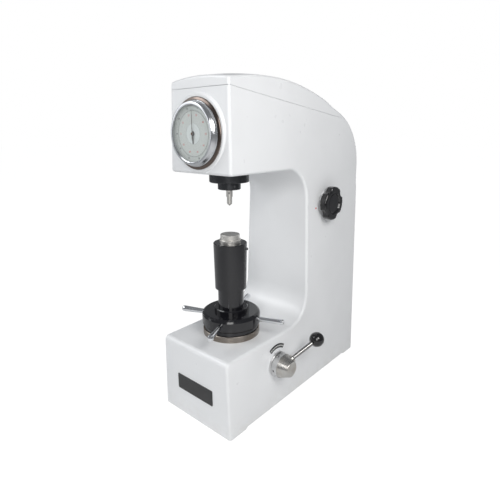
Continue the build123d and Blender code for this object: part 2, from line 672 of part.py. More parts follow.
def spindle():
    tip = SPINDLE_TIP_RADIUS
    bar = turned((0, NOSE_FOOT), (NOSE_RADIUS, NOSE_FOOT), (NOSE_RADIUS, SPINDLE_SHOULDER),
                 (SPINDLE_RADIUS, SPINDLE_SHOULDER), (SPINDLE_RADIUS, SPINDLE_TOP - 12),
                 (tip, SPINDLE_TOP - 8), (tip, SPINDLE_TOP), (0, SPINDLE_TOP))
    reach = SPINDLE_SEAT + 1
    bar -= across([(0, SPINDLE_TOP - SPINDLE_SEAT), (reach, SPINDLE_TOP + 1), (-reach, SPINDLE_TOP + 1)], 20)
    bar -= disc(SHANK_RADIUS, NOSE_FOOT - 1, NOSE_FOOT + SHANK_LENGTH)
    return bar - indenter_screw_place() * disc(1.5, SHANK_RADIUS - 1, NOSE_RADIUS + 2)


def indenter():
    return turned((0, INDENTER_TIP), (1.4, INDENTER_TIP + 0.8),
                  (INDENTER_RADIUS - 0.5, INDENTER_SHOULDER - 0.8), (INDENTER_RADIUS, INDENTER_SHOULDER),
                  (INDENTER_RADIUS, NOSE_FOOT), (SHANK_RADIUS, NOSE_FOOT),
                  (SHANK_RADIUS, NOSE_FOOT + SHANK_LENGTH - 1), (0, NOSE_FOOT + SHANK_LENGTH - 1))


def indenter_screw_place():
    angle = radians(-50)
    return Plane(origin=(0, 0, NOSE_FOOT + 7), x_dir=(0, 0, 1), z_dir=(cos(angle), sin(angle), 0))


def indenter_screw():
    end = NOSE_RADIUS + 0.4
    screw = disc(1.5, SHANK_RADIUS, end)
    return indenter_screw_place() * (screw - block((-0.3, 0.3), (-2, 2), (end - 0.8, end + 1)))


# ================================================================== dial
def dial_case():
    return DIAL * turned((0, -CASE_DEPTH), (CASE_RADIUS, -CASE_DEPTH), (CASE_RADIUS, 0), (FLANGE_RADIUS, 0),
                         (FLANGE_RADIUS, 1.4), (FLANGE_RADIUS - 0.8, 2.2), (BEZEL_RADIUS + 0.3, 3.5),
                         (CASE_RADIUS + 0.3, 3.5), (CASE_RADIUS + 0.3, NECK_OUT),
                         (CASE_RADIUS - CASE_WALL, NECK_OUT),
                         (CASE_RADIUS - CASE_WALL, CASE_WALL - CASE_DEPTH),
                         (1.4, CASE_WALL - CASE_DEPTH), (1.4, 1 - CASE_DEPTH), (0, 1 - CASE_DEPTH))


def dial_bezel():
    return DIAL * turned((BEZEL_BORE, 3.9), (BEZEL_RADIUS, 3.9), (BEZEL_RADIUS - 0.3, 5.6),
                         (BEZEL_RADIUS - 0.9, 6.0), (BEZEL_RADIUS - 1.2, 7.4),
                         (BEZEL_LIP_RADIUS + 0.1, 12.6), (BEZEL_LIP_RADIUS - 0.5, 13.6),
                         (BEZEL_LIP_RADIUS - 1.7, BEZEL_OUT), (LIP_BORE + 1.3, BEZEL_OUT),
                         (LIP_BORE, BEZEL_OUT - 0.9), (LIP_BORE, GLASS_OUT), (BEZEL_BORE, GLASS_OUT))


def dial_glass():
    return DIAL * disc(BEZEL_BORE, GLASS_OUT - GLASS_THICK, GLASS_OUT)


def dial_plate():
    return DIAL * ring(BEZEL_BORE, 3.2, DIAL_OUT - DIAL_THICK, DIAL_OUT)


def needle(length, tail, root, tip):
    """A flat tapered hand that points up, with a tail that points down."""
    return make_face(Polyline((-root, 0), (-tip, length), (tip, length), (root, 0), (root * 1.6, -tail),
                              (-root * 1.6, -tail), close=True))


def long_pointer():
    hand = needle(LONG_POINTER, LONG_TAIL, 0.7, 0.25) + Circle(2.3)
    low = DIAL_OUT + 2.0
    arbor = disc(1.0, CASE_WALL - CASE_DEPTH + 0.4, low + 0.5)
    pivot = disc(2.3, low, low + 1.0)
    return DIAL * (extrude(Pos(0, 0, low) * hand, 0.5) + arbor + pivot)


def short_pointer():
    hand = Rot(0, 0, 180) * needle(SHORT_POINTER, 4.0, 1.3, 0.8) + Circle(2.9)
    low = DIAL_OUT + 0.5
    blade = extrude(Pos(0, 0, low) * hand, 0.6) + disc(2.2, -12, low + 0.6)
    return DIAL * (blade - disc(1.4, -13, low + 2))


# ================================================================== load lever
def lever_bush():
    return LEVER * ring(LEVER_BUSH, SHAFT_RADIUS + RUN, half_width(LEVER_Z) - WALL, LEVER_PAD)


def lever_flange():
    return LEVER * turned((SHAFT_RADIUS + 1, LEVER_PAD), (LEVER_FLANGE, LEVER_PAD),
                          (LEVER_FLANGE, FLANGE_OUT - 0.8), (LEVER_FLANGE - 0.8, FLANGE_OUT),
                          (SHAFT_RADIUS + 1, FLANGE_OUT))


def lever_hole_places():
    """Radial places of the two screws that clamp the collar to the shaft."""
    places = []
    for angle in (186, 112):
        turn = radians(angle)
        places.append(Plane(origin=(FLANGE_OUT + 6, LEVER_Y, LEVER_Z), x_dir=(1, 0, 0),
                            z_dir=(0, cos(turn), sin(turn))))
    return places


def lever_collar():
    low = FLANGE_OUT + 0.5
    collar = LEVER * turned((SHAFT_RADIUS, low), (LEVER_COLLAR - 0.6, low), (LEVER_COLLAR, low + 0.6),
                            (LEVER_COLLAR, COLLAR_OUT), (SHAFT_RADIUS, COLLAR_OUT))
    for place in lever_hole_places():
        collar -= place * disc(2.2, SHAFT_RADIUS, LEVER_COLLAR + 1)
    return collar


def lever_collar_screws():
    screws = [place * (disc(2.2, SHAFT_RADIUS, LEVER_COLLAR - 2) - disc(1.1, LEVER_COLLAR - 4, LEVER_COLLAR))
              for place in lever_hole_places()]
    return Compound(children=screws)


def rod_place():
    run = Vector(*BALL_CENTRE) - Vector(*ROD_ROOT)
    return Plane(origin=ROD_ROOT, z_dir=run)


ROD_LENGTH = (Vector(*BALL_CENTRE) - Vector(*ROD_ROOT)).length


def lever_head():
    """The tapered steel head, with the boss that the lever rod screws into."""
    head = LEVER * turned((0, COLLAR_OUT), (LEVER_COLLAR - 0.5, COLLAR_OUT),
                          (LEVER_NOSE + 0.7, NOSE_OUT - 0.8), (LEVER_NOSE, NOSE_OUT), (0, NOSE_OUT))
    boss = rod_place() * turned((0, 6), (8.6, 6), (8.0, 24), (7.0, 26), (0, 26))
    boss &= block((COLLAR_OUT, NOSE_OUT + 40), (0, 300), (0, 300))
    return head + boss - rod_place() * disc(ROD_RADIUS, ROD_SOCKET, 40)


def lever_rod():
    return rod_place() * turned((0, ROD_SOCKET), (ROD_RADIUS, ROD_SOCKET), (ROD_RADIUS, 28),
                                (ROD_RADIUS + 0.5, ROD_LENGTH - BALL_SEAT), (3.0, ROD_LENGTH - BALL_SEAT),
                                (3.0, ROD_LENGTH - 2), (0, ROD_LENGTH - 2))


def lever_ball():
    ball = Pos(*BALL_CENTRE) * Sphere(KNOB_BALL_RADIUS)
    ball -= rod_place() * disc(20, ROD_LENGTH - 40, ROD_LENGTH - BALL_SEAT)
    return ball - rod_place() * disc(3.0, 0, ROD_LENGTH - 2)


def lever_shaft():
    return LEVER * disc(SHAFT_RADIUS, -30, COLLAR_OUT)


def load_cam():
    lobe = Pos(0, -CAM_THROW, 0) * disc(CAM_RADIUS, -CAM_HALF, CAM_HALF)
    hub = disc(SHAFT_RADIUS + 3, -CAM_HALF, CAM_HALF)
    return LEVER * (lobe + hub - disc(SHAFT_RADIUS, -CAM_HALF - 1, CAM_HALF + 1))


# ================================================================== inside: lift, beam, weights
CAM_FOOT = LEVER_Z - CAM_RADIUS - CAM_THROW


def lift_rocker():
    """The lever under the cam whose rear fork carries the weights while the load is off."""
    top = CAM_FOOT - CAM_GAP
    fork_top = LIFT_COLLAR - LIFT_GAP
    fork_foot = DASHPOT_TOP + DASHPOT_CAP + 8
    bar = across([(24, top - 13), (ROCKER_Y - 10, ROCKER_Z - 10), (ROCKER_Y + 10, ROCKER_Z - 8),
                  (HANGER_Y - 38, fork_foot), (HANGER_Y + 16, fork_foot), (HANGER_Y + 16, fork_top),
                  (HANGER_Y - 45, fork_top), (ROCKER_Y + 2, ROCKER_Z + 14), (ROCKER_Y - 14, ROCKER_Z + 8),
                  (60, top), (24, top)], ROCKER_HALF)
    bar += block((-FORK_HALF, FORK_HALF), (HANGER_Y - 22, HANGER_Y + 16), (fork_foot, fork_top))
    slot = HANGER_ROD + 0.8
    bar -= block((-slot, slot), (HANGER_Y - 10, HANGER_Y + 17), (fork_foot - 1, fork_top + 1))
    return bar - facing_right(0, ROCKER_Y, ROCKER_Z) * disc(ROCKER_PIN + RUN, -20, 20)


def rocker_pin():
    reach = ROCKER_HALF + 18
    return facing_right(0, ROCKER_Y, ROCKER_Z) * disc(ROCKER_PIN, -reach, reach)


def knife(y, z, half):
    """A three-sided knife edge across the beam, its edge up."""
    return across([(y, z), (y + KNIFE_SIDE / 2, z - KNIFE_SIDE), (y - KNIFE_SIDE / 2, z - KNIFE_SIDE)], half)


def main_beam():
    end = HANGER_Y + 14
    axis = BEAM_AXIS
    beam = across([(FULCRUM_Y - 12, axis - 12), (FULCRUM_Y - 12, axis + 8), (FULCRUM_Y, axis + 16),
                   (20, axis + 20), (end, axis + 8), (end, axis - 12), (20, axis - 16)], BEAM_HALF)
    for share, high in ((0.24, 17), (0.44, 15), (0.64, 13), (0.82, 11)):
        window = facing_right(0, share * HANGER_Y, axis)
        beam -= window * extrude(SlotOverall(36, high), 2 * BEAM_HALF, both=True)
    beam -= knife(FULCRUM_Y, axis, 20) + knife(HANGER_Y, axis, 20)
    return beam - block((-20, 20), (-6, 6), (axis - 30, SPINDLE_TOP + 6))


def beam_knives():
    """Three hard knife edges in the beam: fulcrum and hanger with the edge up, spindle with it down."""
    top = SPINDLE_TOP + 6
    tip = SPINDLE_TOP - SPINDLE_SEAT + SEAT_PLAY
    lower = across([(-6, top), (6, top), (3.5, SPINDLE_TOP + 2.5), (0, tip), (-3.5, SPINDLE_TOP + 2.5)],
                   BEAM_HALF)
    fulcrum = knife(FULCRUM_Y, BEAM_AXIS, POST_OUTER)
    hanger = knife(HANGER_Y, BEAM_AXIS, STIRRUP_OUTER)
    return Compound(children=[fulcrum, hanger, lower])


def knife_window(y, half_low, half_high):
    """A window round a knife whose roof is the seat that the edge bears on."""
    top = BEAM_AXIS + KNIFE_GAP
    reach = KNIFE_SIDE
    shape = [(y, top), (y + reach, top - 3), (y + reach, top - 2 * reach), (y - reach, top - 2 * reach),
             (y - reach, top - 3)]
    face = make_face(Polyline(*shape, close=True))
    return extrude(Plane.YZ * Pos(0, 0, half_low) * face, half_high - half_low)


def fulcrum_posts():
    floor = HEAD_BOTTOM + WALL
    posts = []
    for side in (-1, 1):
        x = sorted((side * POST_INNER, side * (POST_OUTER + 4)))
        post = block(x, (FULCRUM_Y - POST_HALF, FULCRUM_Y + POST_HALF), (floor, BEAM_AXIS + POST_HALF))
        reach = (FULCRUM_Y - POST_FOOT_HALF, FULCRUM_Y + POST_FOOT_HALF)
        foot = block(x, reach, (floor, floor + POST_FOOT_THICK))
        posts.append(post + foot - knife_window(FULCRUM_Y, x[0] - 1, x[1] + 1))
    return Compound(children=posts)



def hanger_rod():
    """Stirrup over the beam's rear knife, with the long rod below it."""
    half = STIRRUP_HALF
    stirrup = block((-STIRRUP_OUTER, STIRRUP_OUTER), (HANGER_Y - half, HANGER_Y + half),
                    (STIRRUP_FOOT, BEAM_AXIS + STIRRUP_RISE))
    stirrup -= block((-STIRRUP_INNER, STIRRUP_INNER), (HANGER_Y - half - 1, HANGER_Y + half + 1),
                     (STIRRUP_FOOT + STIRRUP_FLOOR, BEAM_AXIS + STIRRUP_RISE + 1))
    for side in (-1, 1):
        x = sorted((side * (STIRRUP_INNER - 1), side * (STIRRUP_OUTER + 1)))
        stirrup -= knife_window(HANGER_Y, x[0], x[1])
    rod = disc(HANGER_ROD, PISTON_FOOT + PISTON_THICK, STIRRUP_FOOT + 2)
    collar = disc(LIFT_COLLAR_RADIUS, LIFT_COLLAR, LIFT_COLLAR + LIFT_COLLAR_THICK)
    return stirrup + Pos(0, HANGER_Y, 0) * (rod + collar)


def weight_tray():
    return Pos(0, HANGER_Y, 0) * turned((HANGER_ROD, TRAY_TOP - TRAY_THICK - 6),
                                        (14, TRAY_TOP - TRAY_THICK - 6), (14, TRAY_TOP - TRAY_THICK),
                                        (TRAY_RADIUS, TRAY_TOP - TRAY_THICK), (TRAY_RADIUS, TRAY_TOP),
                                        (HANGER_ROD, TRAY_TOP))


def weight(level):
    """A slotted disc weight with a groove round its rim for the lifting hooks."""
    low = TRAY_TOP + level * (WEIGHT_THICK + WEIGHT_GAP)
    high = low + WEIGHT_THICK
    middle = (low + high) / 2
    shape = turned((0, low), (WEIGHT_RADIUS - 2, low), (WEIGHT_RADIUS, low + 2),
                   (WEIGHT_RADIUS, middle - 5), (WEIGHT_RADIUS - 5, middle - 3),
                   (WEIGHT_RADIUS - 5, middle + 3), (WEIGHT_RADIUS, middle + 5), (WEIGHT_RADIUS, high - 2),
                   (WEIGHT_RADIUS - 2, high), (0, high))
    if level:
        shape += disc(16, low - WEIGHT_GAP, low)
    slot = HANGER_ROD
    shape -= disc(slot, low - 2, high + 1) + block((-slot, slot), (0, WEIGHT_RADIUS + 1), (low - 2, high + 1))
    return Pos(0, HANGER_Y, 0) * shape


def dashpot_cylinder():
    return Pos(0, HANGER_Y, 0) * turned((0, SHELF_TOP), (DASHPOT_RADIUS, SHELF_TOP),
                                        (DASHPOT_RADIUS, DASHPOT_TOP), (DASHPOT_BORE, DASHPOT_TOP),
                                        (DASHPOT_BORE, SHELF_TOP + 6), (0, SHELF_TOP + 6))


def dashpot_cap():
    return Pos(0, HANGER_Y, 0) * ring(DASHPOT_RADIUS, HANGER_ROD + 0.4, DASHPOT_TOP,
                                      DASHPOT_TOP + DASHPOT_CAP)


def dashpot_piston():
    return Pos(0, HANGER_Y, 0) * disc(DASHPOT_BORE - 0.4, PISTON_FOOT, PISTON_FOOT + PISTON_THICK)


# ================================================================== load selector
def star_outline():
    star = Circle(STAR_RADIUS)
    reach = STAR_RADIUS + STAR_HOLLOW - STAR_HOLLOW_DEPTH
    for lobe in range(STAR_LOBES):
        angle = radians(STAR_TURN + 360 * lobe / STAR_LOBES)
        star -= Pos(reach * cos(angle), reach * sin(angle)) * Circle(STAR_HOLLOW)
    return fillet(star.vertices(), 4.0)


def selector_knob():
    back = KNOB_PAD + KNOB_GAP
    star = extrude(Pos(0, 0, back + KNOB_NECK) * star_outline(), STAR_THICK)
    star = fillet(star.edges().group_by(Axis.Z)[-1], STAR_EDGE)
    star = fillet(star.edges().group_by(Axis.Z)[0], STAR_EDGE / 2)
    neck = turned((0, back), (KNOB_NECK_RADIUS - 0.6, back), (KNOB_NECK_RADIUS, back + 0.6),
                  (KNOB_NECK_RADIUS, back + KNOB_NECK + 1), (0, back + KNOB_NECK + 1))
    front = back + KNOB_NECK + STAR_THICK
    floor = front - DISH_DEPTH
    dish = turned((0, floor), (DISH_RADIUS - 2, floor), (DISH_RADIUS, front + 0.1), (0, front + 0.1))
    socket = disc(SELECTOR_SHAFT, back - 1, back + KNOB_NECK + 2)
    return KNOB * (star + neck - dish - socket)


def selector_knob_cap():
    low = KNOB_PAD + KNOB_GAP + KNOB_NECK + STAR_THICK - DISH_DEPTH
    high = low + DISH_DEPTH / 2
    return KNOB * turned((0, low), (KNOB_CAP_RADIUS, low), (KNOB_CAP_RADIUS, high - 0.6),
                         (KNOB_CAP_RADIUS - 1.5, high), (0, high))


def selector_shaft():
    return KNOB * disc(SELECTOR_SHAFT, -46, KNOB_PAD + KNOB_GAP + KNOB_NECK + 2)


def selector_cams():
    """Three stepped cams side by side, each of which holds back one weight's hook."""
    cams = []
    for index in range(3):
        x = -40 + 22 * index
        lobe = Pos(SELECTOR_THROW, 0, 0) * disc(SELECTOR_CAM - SELECTOR_THROW, x, x + 10)
        lobe = Rot(0, 0, 120 * index) * lobe
        hub = disc(SELECTOR_SHAFT + 5, x - 6, x + 12)
        cams.append(KNOB * (lobe + hub - disc(SELECTOR_SHAFT, x - 7, x + 13)))
    return Compound(children=cams)


# ================================================================== files
PARTS = {
    "body_casting": body_casting(),
    "top_cover": top_cover(),
    "rear_cover": rear_cover(),
    "rear_cover_screws": rear_cover_screws(),
    "name_plate": name_plate(),
    "lever_index_plate": lever_index_plate(),
    "load_index_marks": load_index_marks(),
    "seat_ring": seat_ring(),
    "thrust_race_lower": thrust_race(RACE_FOOT),
    "thrust_balls": thrust_balls(),
    "thrust_race_upper": thrust_race(UPPER_RACE),
    "handwheel": handwheel(),
    "handwheel_spokes": handwheel_spokes(),
    "nut_collar": nut_collar(),
    "lifting_nut": lifting_nut(),
    "guide_bush": guide_bush(),
    "guide_key": guide_key(),
    "elevating_screw": elevating_screw(),
    "dust_sleeve": dust_sleeve(),
    "sleeve_screw": sleeve_screw(),
    "anvil": anvil(),
    "spindle_housing": spindle_housing(),
    "housing_nut": housing_nut(),
    "spindle_guide_ring": spindle_guide_ring(),
    "guide_ring_screw": guide_ring_screw(),
    "spindle": spindle(),
    "indenter": indenter(),
    "indenter_screw": indenter_screw(),
    "dial_case": dial_case(),
    "dial_bezel": dial_bezel(),
    "dial_glass": dial_glass(),
    "dial_plate": dial_plate(),
    "long_pointer": long_pointer(),
    "short_pointer": short_pointer(),
    "lever_bush": lever_bush(),
    "lever_flange": lever_flange(),
    "lever_collar": lever_collar(),
    "lever_collar_screws": lever_collar_screws(),
    "lever_head": lever_head(),
    "lever_rod": lever_rod(),
    "lever_ball": lever_ball(),
    "lever_shaft": lever_shaft(),
    "load_cam": load_cam(),
    "lift_rocker": lift_rocker(),
    "rocker_pin": rocker_pin(),
    "main_beam": main_beam(),
    "beam_knives": beam_knives(),
    "fulcrum_posts": fulcrum_posts(),
    "hanger_rod": hanger_rod(),
    "weight_tray": weight_tray(),
    "base_weight": weight(0),
    "middle_weight": weight(1),
    "upper_weight": weight(2),
    "dashpot_cylinder": dashpot_cylinder(),
    "dashpot_cap": dashpot_cap(),
    "dashpot_piston": dashpot_piston(),
    "selector_knob": selector_knob(),
    "selector_knob_cap": selector_knob_cap(),
    "selector_shaft": selector_shaft(),
    "selector_cams": selector_cams(),
}

os.makedirs("parts", exist_ok=True)
for name, shape in PARTS.items():
    export_step(shape, f"parts/{name}.step")
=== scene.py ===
import bpy
from math import atan, radians
from mathutils import Matrix, Vector


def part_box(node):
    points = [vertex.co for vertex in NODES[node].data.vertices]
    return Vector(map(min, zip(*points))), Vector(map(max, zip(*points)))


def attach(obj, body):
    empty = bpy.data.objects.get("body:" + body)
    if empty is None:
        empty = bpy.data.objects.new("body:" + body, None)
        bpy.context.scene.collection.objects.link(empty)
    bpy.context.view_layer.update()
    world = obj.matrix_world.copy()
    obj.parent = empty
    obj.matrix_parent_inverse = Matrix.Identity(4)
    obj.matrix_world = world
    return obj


bl_info = {
    "name": "Hardness Tester Finish",
    "version": (1, 0, 0),
    "blender": (4, 5, 0),
    "location": "View3D > Sidebar > Tester",
    "description": "Dresses a bench hardness tester: enamel, steels, dial print and a plain studio",
    "category": "Object",
}

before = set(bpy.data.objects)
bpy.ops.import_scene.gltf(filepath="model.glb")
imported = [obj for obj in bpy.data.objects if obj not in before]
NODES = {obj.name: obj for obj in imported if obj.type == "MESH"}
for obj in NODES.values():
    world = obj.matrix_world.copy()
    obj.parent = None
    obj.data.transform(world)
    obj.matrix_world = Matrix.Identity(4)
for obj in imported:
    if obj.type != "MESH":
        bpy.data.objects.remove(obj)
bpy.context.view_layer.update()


def middle(node):
    low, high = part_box(node)
    return (Vector(low) + Vector(high)) / 2


DIAL_CENTRE = middle("dial_bezel")
DIAL_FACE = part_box("dial_plate")[0][1]
LEVER_CENTRE = middle("lever_collar")
KNOB_CENTRE = middle("selector_knob")
SIDE_DRAFT = 0.0373            # lean of the casting's sides, metres inwards for each metre up
BENCH_HALF_WIDTH = 0.0911      # half the casting's width at the bench
PLATE_THICKNESS = 0.00102
DASH_COUNT = 8
DASH_PITCH = 8.2               # degrees
DASH_RADIUS = 0.03625
DASH_MIDDLE = 2.5              # degrees clockwise from the top
TICK_COUNT = 100
NUMBER_COUNT = 10


# ------------------------------------------------------------------ settings
class TesterDialSettings(bpy.types.PropertyGroup):
    ring_radius: bpy.props.FloatProperty(
        name="Ring radius", description="Thin ring line between the two rows of numbers",
        default=0.0362, unit="LENGTH")
    outer_numbers: bpy.props.FloatProperty(
        name="Outer numbers", description="Radius of the black numbers", default=0.0405, unit="LENGTH")
    inner_numbers: bpy.props.FloatProperty(
        name="Inner numbers", description="Radius of the red numbers", default=0.0300, unit="LENGTH")
    centre_radius: bpy.props.FloatProperty(
        name="Centre disc", description="Radius of the pale disc round the pointers",
        default=0.0167, unit="LENGTH")
    number_height: bpy.props.FloatProperty(
        name="Number height", description="Height of one digit", default=0.0038, unit="LENGTH")
    print_thickness: bpy.props.FloatProperty(
        name="Print thickness", description="Thickness of the printed marks", default=0.00012, unit="LENGTH")


class TesterColourSettings(bpy.types.PropertyGroup):
    enamel: bpy.props.FloatVectorProperty(
        name="Enamel", description="Colour of the casting and its covers", subtype="COLOR",
        default=(0.78, 0.79, 0.80), size=3)
    black: bpy.props.FloatVectorProperty(
        name="Black enamel", description="Colour of the handwheel and the dust sleeve", subtype="COLOR",
        default=(0.006, 0.006, 0.008), size=3)
    dial: bpy.props.FloatVectorProperty(
        name="Dial", description="Colour of the dial's face", subtype="COLOR",
        default=(0.60, 0.61, 0.585), size=3)
    dial_centre: bpy.props.FloatVectorProperty(
        name="Dial centre", description="Colour of the disc round the pointers", subtype="COLOR",
        default=(0.72, 0.74, 0.73), size=3)


class TesterStageSettings(bpy.types.PropertyGroup):
    floor_size: bpy.props.FloatProperty(
        name="Floor size", description="Side of the floor", default=30.0, unit="LENGTH")
    lens: bpy.props.FloatProperty(name="Lens", description="Focal length", default=29.80)
    eye: bpy.props.FloatVectorProperty(
        name="Eye", description="Place of the camera", subtype="TRANSLATION",
        default=(0.52722, -0.54729, 0.53762), size=3)
    yaw: bpy.props.FloatProperty(
        name="Yaw", description="Turn of the camera about the vertical", default=radians(41.097),
        subtype="ANGLE")
    pitch: bpy.props.FloatProperty(
        name="Pitch", description="Fall of the view below the horizon", default=radians(15.958),
        subtype="ANGLE")
    roll: bpy.props.FloatProperty(
        name="Roll", description="Turn of the camera about its view", default=radians(-0.112),
        subtype="ANGLE")


# ------------------------------------------------------------------ shader maths
class Num:
    """A number socket that takes part in arithmetic; each operator adds one Math node."""

    def __init__(self, finish, socket):
        self.finish = finish
        self.socket = socket

    def maths(self, operation, *others):
        values = {0: self}
        for place, other in enumerate(others, 1):
            values[place] = other
        return self.finish.number("ShaderNodeMath", {"operation": operation}, values)

    def __add__(self, other):
        return self.maths("ADD", other)

    def __sub__(self, other):
        return self.maths("SUBTRACT", other)

    def __mul__(self, other):
        return self.maths("MULTIPLY", other)

    def __truediv__(self, other):
        return self.maths("DIVIDE", other)

    def __rsub__(self, other):
        return (self * -1.0).maths("ADD", other)

    __radd__ = __add__
    __rmul__ = __mul__

    def power(self, other):
        return self.maths("POWER", other)

    def over(self, other):
        return self.maths("GREATER_THAN", other)

    def step(self, low, high):
        """0 below low, 1 above high and smooth between them."""
        settings = {"interpolation_type": "SMOOTHSTEP"}
        return self.finish.number("ShaderNodeMapRange", settings, {0: self, 1: low, 2: high})


class Finish:
    """One material: its Principled shader, its coordinates and the nodes that drive it."""

    def __init__(self, name, colour, roughness, metallic=0.0, **constants):
        self.material = bpy.data.materials.new(name)
        self.material.use_nodes = True
        self.tree = self.material.node_tree
        self.shader = self.tree.nodes["Principled BSDF"]
        self.shader.inputs["Base Color"].default_value = (*colour, 1.0)
        self.shader.inputs["Roughness"].default_value = roughness
        self.shader.inputs["Metallic"].default_value = metallic
        for socket, value in constants.items():
            self.shader.inputs[socket.replace("_", " ")].default_value = value
        self.place = self.node("ShaderNodeTexCoord").outputs["Object"]
        self.colour = colour

    def node(self, kind, settings=None, values=None):
        """Adds a node, then its settings, then the values or links of its sockets."""
        made = self.tree.nodes.new(kind)
        for setting, value in (settings or {}).items():
            if setting == "stops":
                for stop, (position, colour) in zip(made.color_ramp.elements, value):
                    stop.position = position
                    stop.color = colour
            else:
                setattr(made, setting, value)
        for socket, value in (values or {}).items():
            target = made.inputs[socket]
            if isinstance(value, Num):
                self.tree.links.new(value.socket, target)
            elif isinstance(value, bpy.types.NodeSocket):
                self.tree.links.new(value, target)
            else:
                target.default_value = value
        return made

    def number(self, kind, settings=None, values=None, output=0):
        return Num(self, self.node(kind, settings, values).outputs[output])

    def axes(self):
        parts = self.node("ShaderNodeSeparateXYZ", None, {0: self.place})
        return [Num(self, parts.outputs[letter]) for letter in "XYZ"]

    def noise(self, scale, detail=3.0, where=None, roughness=0.5):
        values = {"Vector": where or self.place, "Scale": scale, "Detail": detail, "Roughness": roughness}
        return self.number("ShaderNodeTexNoise", None, values, output="Fac")

    def stretched(self, x, y, z):
        """Object coordinates scaled by three factors, for patterns that run one way."""
        return self.node("ShaderNodeMapping", None, {"Vector": self.place, "Scale": (x, y, z)}).outputs[0]

    def line_noise(self, along, scale, detail=2.0):
        """Noise that varies along one number only."""
        values = {"W": along, "Scale": scale, "Detail": detail}
        return self.number("ShaderNodeTexNoise", {"noise_dimensions": "1D"}, values, output="Fac")

    def blend(self, share, first, second):
        """A colour between two others."""
        values = {0: share}
        for place, colour in ((6, first), (7, second)):
            is_socket = isinstance(colour, bpy.types.NodeSocket)
            values[place] = colour if is_socket else (*colour, 1.0)
        return self.node("ShaderNodeMix", {"data_type": "RGBA"}, values).outputs[2]

    def set(self, socket, value):
        self.tree.links.new(value.socket if isinstance(value, Num) else value, self.shader.inputs[socket])

    def bump(self, height, distance, strength=1.0, under=None):
        values = {"Height": height, "Distance": distance, "Strength": strength}
        if under is not None:
            values["Normal"] = under
        normal = self.node("ShaderNodeBump", None, values).outputs[0]
        self.tree.links.new(normal, self.shader.inputs["Normal"])
        return normal


def shade(colour, factor):
    return tuple(channel * factor for channel in colour)


# ------------------------------------------------------------------ finishes
def enamel(colour):
    """Sprayed gloss enamel over filled cast iron: faint orange peel, broad waviness, dust near the bench."""
    finish = Finish("white_enamel", colour, 0.3, Coat_Weight=0.1, Coat_Roughness=0.1)
    _, _, z = finish.axes()
    broad = finish.noise(9.0, 3.0)
    tone = finish.blend(broad.step(0.35, 0.7), colour, shade(colour, 0.965))
    specks = finish.noise(900.0, 2.0).step(0.70, 0.78)
    dust = (1.0 - z.step(0.0, 0.05)) * finish.noise(60.0, 4.0).step(0.3, 0.8)
    tone = finish.blend(dust * 0.18, tone, (0.55, 0.52, 0.46))
    tone = finish.blend(specks * 0.12, tone, (0.50, 0.49, 0.46))
    finish.set("Base Color", tone)
    finish.set("Roughness", finish.noise(35.0, 4.0) * 0.12 + dust * 0.25 + 0.24)
    wave = finish.bump(finish.noise(22.0, 2.0), 0.0006, 0.35)
    finish.bump(finish.noise(620.0, 2.0), 0.00006, 0.35, under=wave)
    return finish.material


def black_enamel(colour):
    """Deep black stove enamel with faint rubbing marks round the axis and settled dust."""
    finish = Finish("black_enamel", colour, 0.1, Coat_Weight=0.2, Coat_Roughness=0.04)
    _, _, z = finish.axes()
    dust = finish.noise(1400.0, 2.0).step(0.66, 0.76)
    finish.set("Base Color", finish.blend(dust * 0.2, colour, (0.05, 0.05, 0.048)))
    rub = finish.line_noise(z, 900.0, 3.0)
    finish.set("Roughness", finish.noise(40.0, 4.0) * 0.10 + rub * 0.08 + dust * 0.2 + 0.05)
    finish.bump(finish.noise(300.0, 2.0), 0.00008, 0.3)
    return finish.material


def black_resin():
    """Moulded black resin of the ball and the load knob: near mirror gloss with hairline scratches."""
    colour = (0.005, 0.005, 0.006)
    finish = Finish("black_resin", colour, 0.08, Coat_Weight=0.25, Coat_Roughness=0.03)
    swirl = finish.noise(70.0, 5.0)
    hair = finish.noise(1.0, 2.0, where=finish.stretched(2600.0, 240.0, 500.0)).step(0.62, 0.72)
    finish.set("Base Color", finish.blend(swirl * 0.5, colour, (0.012, 0.011, 0.012)))
    finish.set("Roughness", swirl * 0.07 + hair * 0.15 + 0.05)
    finish.bump(hair, 0.00001, 0.25)
    return finish.material


def radius_from(finish, axis, centre):
    """Distance from an axis through a centre; axis is 0, 1 or 2 for X, Y or Z."""
    parts = finish.axes()
    across = [parts[n] - centre[n] for n in range(3) if n != axis]
    return (across[0] * across[0] + across[1] * across[1]).power(0.5), parts[axis], across


def turned_metal(name, colour, axis, centre, roughness=0.26, grooves=0.00003, tint=None):
    """Lathe-turned metal: fine grooves that follow the profile round its axis, and a few deeper rings."""
    finish = Finish(name, colour, roughness, 1.0)
    radius, along, _ = radius_from(finish, axis, centre)
    profile = radius + along
    fine = finish.line_noise(profile, 6500.0, 2.0)
    rings = finish.line_noise(profile, 900.0, 3.0)
    stain = finish.noise(45.0, 5.0).step(0.35, 0.8)
    tone = finish.blend(rings * 0.5, colour, shade(colour, 0.72))
    tone = finish.blend(stain * 0.45, tone, tint or shade(colour, 0.6))
    finish.set("Base Color", tone)
    finish.set("Roughness", fine * 0.16 + stain * 0.14 + (roughness - 0.12))
    finish.bump(fine * 0.6 + rings * 0.4, grooves, 0.5)
    return finish.material


def chrome():
    """Polished chrome plate with a soft haze and fine polishing lines."""
    colour = (0.80, 0.81, 0.83)
    finish = Finish("chrome", colour, 0.06, 1.0)
    haze = finish.noise(55.0, 4.0)
    lines = finish.noise(1.0, 2.0, where=finish.stretched(400.0, 400.0, 3000.0))
    finish.set("Base Color", finish.blend(haze.step(0.3, 0.8), colour, shade(colour, 0.88)))
    finish.set("Roughness", haze * 0.07 + lines * 0.05 + 0.02)
    finish.bump(lines, 0.000008, 0.2)
    return finish.material


